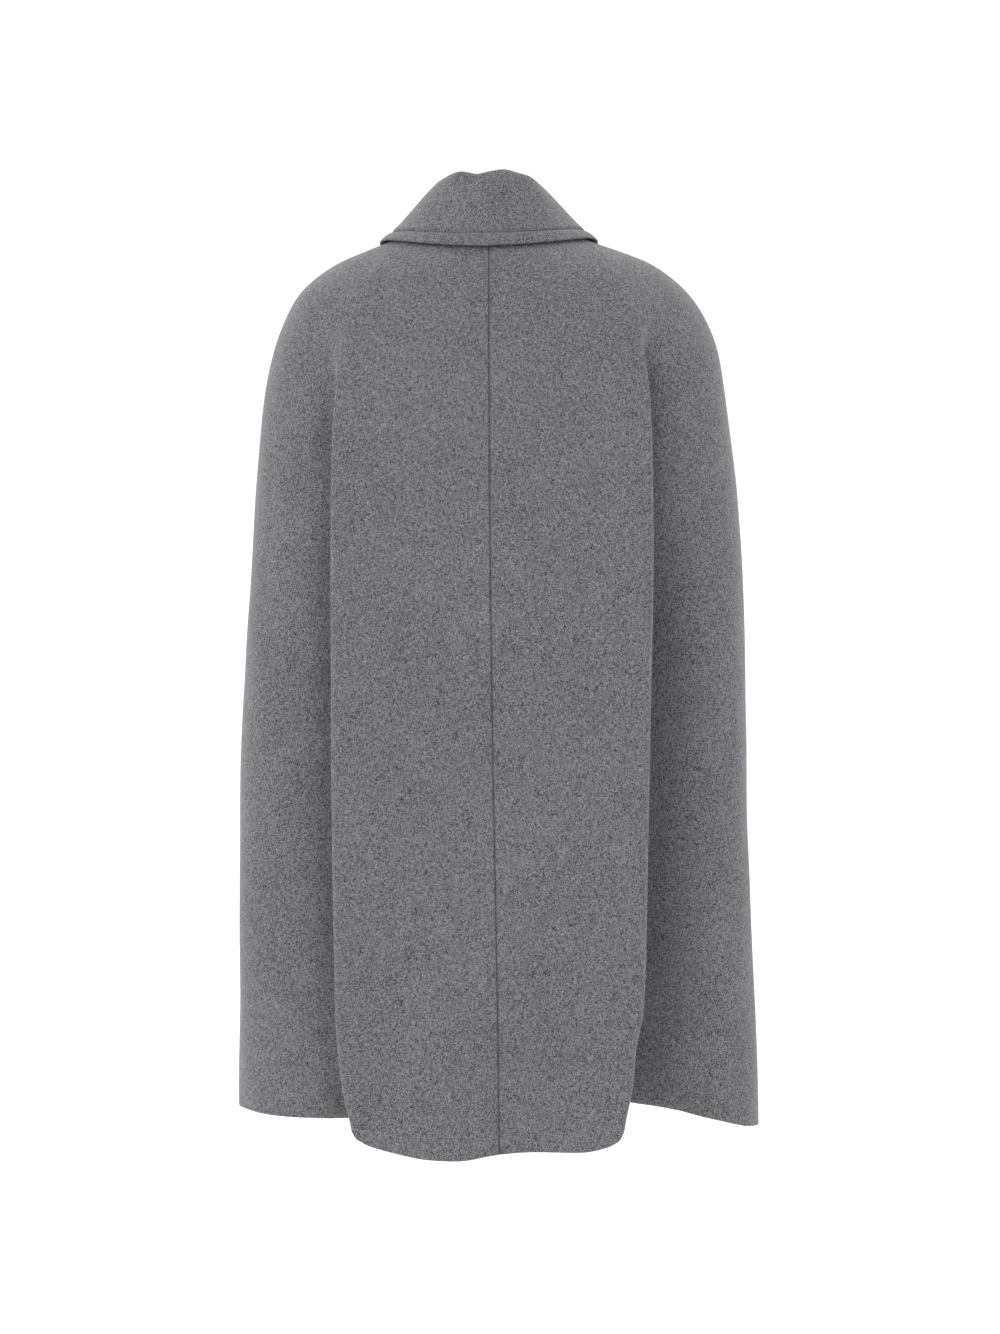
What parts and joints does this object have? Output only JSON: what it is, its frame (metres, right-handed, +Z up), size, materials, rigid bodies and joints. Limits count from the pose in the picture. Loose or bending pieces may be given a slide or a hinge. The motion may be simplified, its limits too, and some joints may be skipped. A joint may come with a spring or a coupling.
{
  "type": "cape coat",
  "caption": "Hollow wool cape coat with back and front panels, side wings falling from the shoulders to the hem, a turned-down collar and a buttoned front.",
  "frame": {"origin": "the middle of the neck opening, level with the inner ends of the shoulder slopes, where the wearer holds the coat up", "axes": "+Z up, -Y out of the front of the coat, +Y out of its back, +X to the wearer's left"},
  "size_m": [0.5255, 0.3197, 0.9825],
  "materials": {
    "wool": "matte grey melange melton, brushed nap",
    "button": "polished dark grey resin"
  },
  "bodies": {
    "root": {"back_left": "wool", "back_right": "wool", "wing_left": "wool", "wing_right": "wool", "front_left": "wool", "front_right": "wool", "collar": "wool", "button_1": "button", "button_2": "button", "button_3": "button", "button_4": "button", "button_5": "button"}
  },
  "joints": []
}
